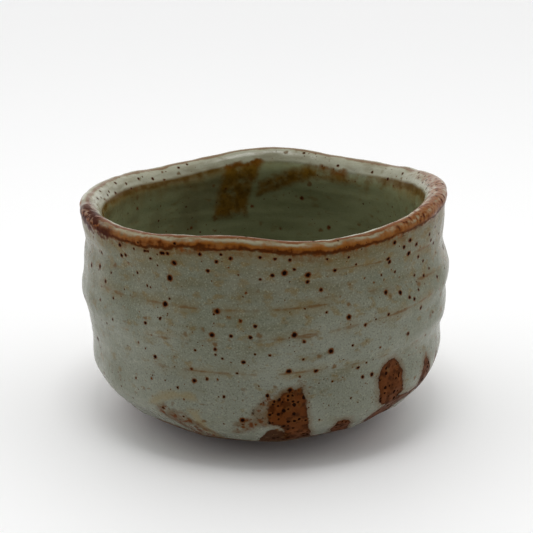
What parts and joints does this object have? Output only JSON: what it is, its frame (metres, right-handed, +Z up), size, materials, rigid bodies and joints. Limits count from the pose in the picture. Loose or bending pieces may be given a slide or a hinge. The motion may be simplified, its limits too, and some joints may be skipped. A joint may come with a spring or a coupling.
{
  "type": "matcha bowl",
  "caption": "Hand-thrown tea bowl with an upright ridged wall, a wavy rolled lip, a turned foot ring and speckled glaze over iron-bearing clay.",
  "frame": {"origin": "middle of the bowl's footprint, on the surface it stands on", "axes": "+Z up through the mouth, -Y towards the front of the bowl, +X to its right"},
  "size_m": [0.1226, 0.1231, 0.0777],
  "materials": {
    "bare_clay": "unglazed iron-bearing stoneware, fired brown",
    "foot_clay": "unglazed turned stoneware, fired brown",
    "outer_glaze": "satin grey-green glaze with iron spots and rust-brown edges",
    "inner_glaze": "satin grey-green glaze with brushed iron marks"
  },
  "bodies": {
    "root": {"thrown_body": "bare_clay", "foot_ring": "foot_clay", "outer_glaze": "outer_glaze", "inner_glaze": "inner_glaze"}
  },
  "joints": []
}
